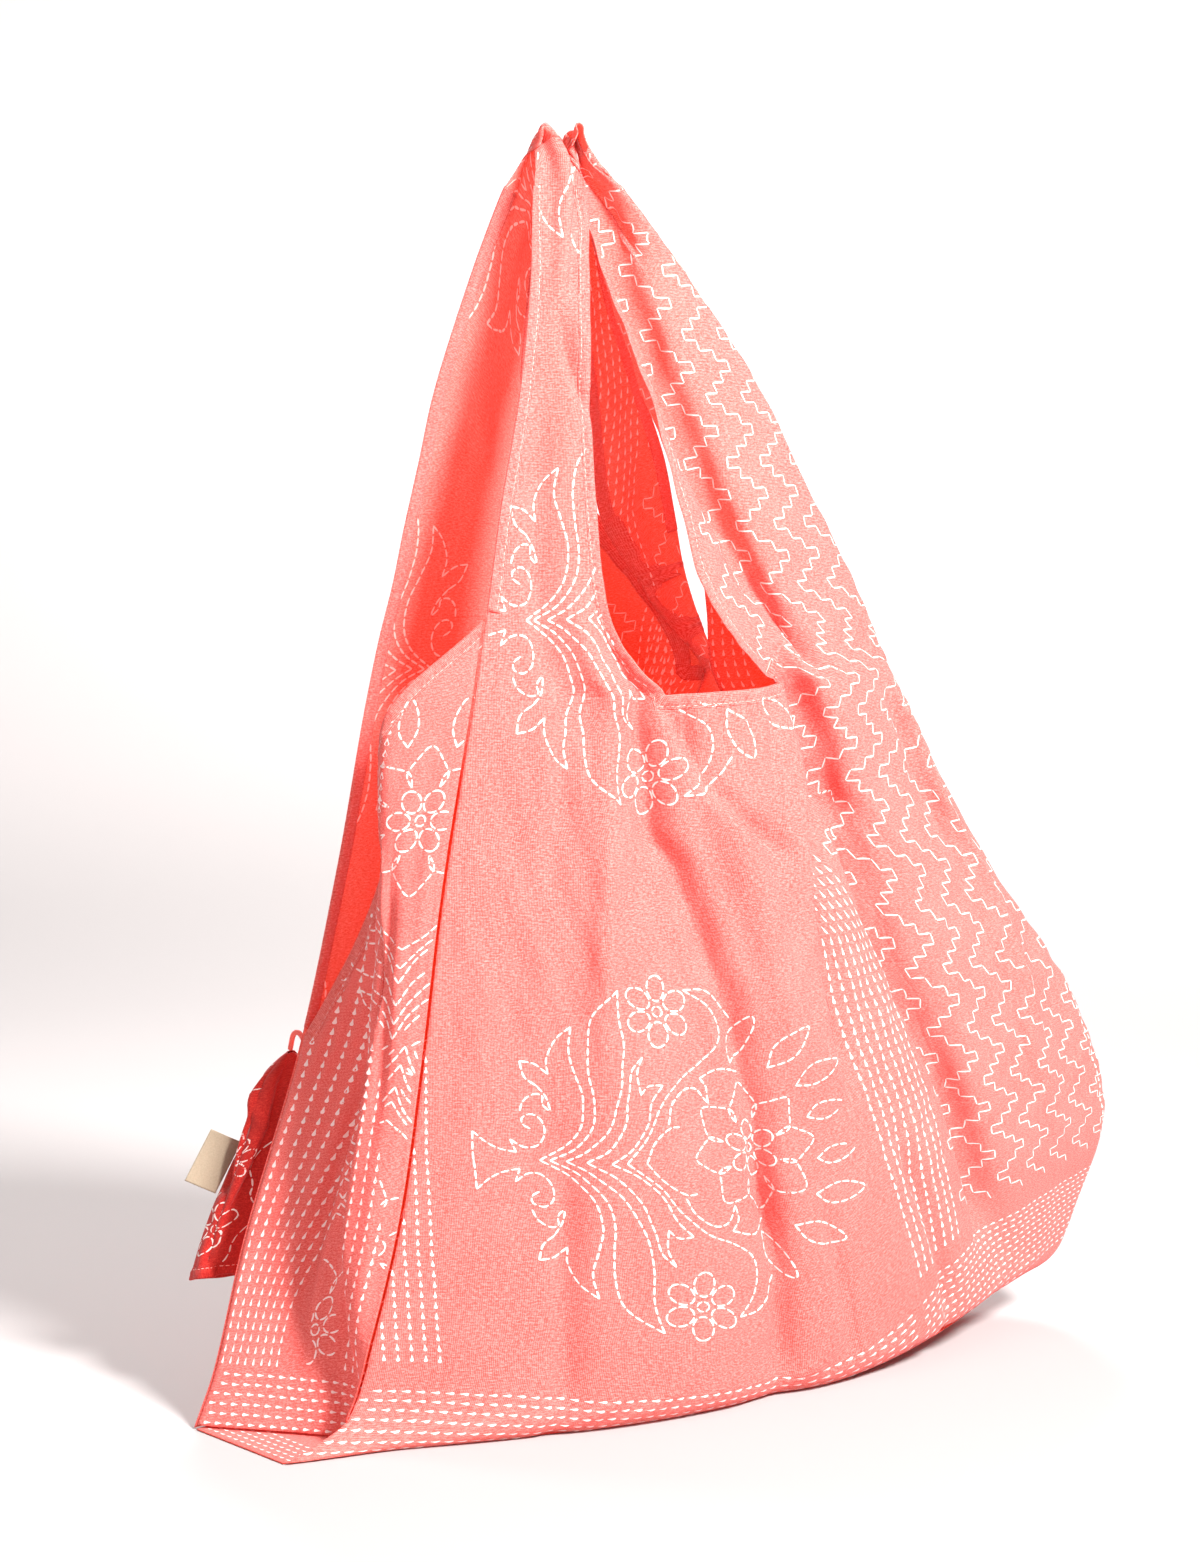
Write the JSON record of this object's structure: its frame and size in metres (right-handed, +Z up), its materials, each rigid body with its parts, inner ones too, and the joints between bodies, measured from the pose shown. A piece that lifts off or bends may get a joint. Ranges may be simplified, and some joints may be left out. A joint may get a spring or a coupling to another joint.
{
  "type": "reusable shopping bag",
  "caption": "Foldable cloth shopping bag stood open, with long handle straps drawn to a point, side gussets, a flat base and a small storage pouch tied at one corner.",
  "frame": {"origin": "on the floor, under the middle of the bag's box", "axes": "+Z up to the gathered handles, the front panel faces -Y, +X runs from the gusset with the pouch to the drawn-up right end"},
  "size_m": [0.5816, 0.1972, 0.7006],
  "materials": {
    "coral_cloth": "thin printed crepe",
    "cream_label": "matte woven tape"
  },
  "bodies": {
    "root": {"front_panel": "coral_cloth", "back_panel": "coral_cloth", "left_gusset": "coral_cloth", "right_gusset": "coral_cloth", "base_panel": "coral_cloth", "storage_pouch": "coral_cloth", "pouch_label": "cream_label", "pouch_tie": "coral_cloth"}
  },
  "joints": []
}
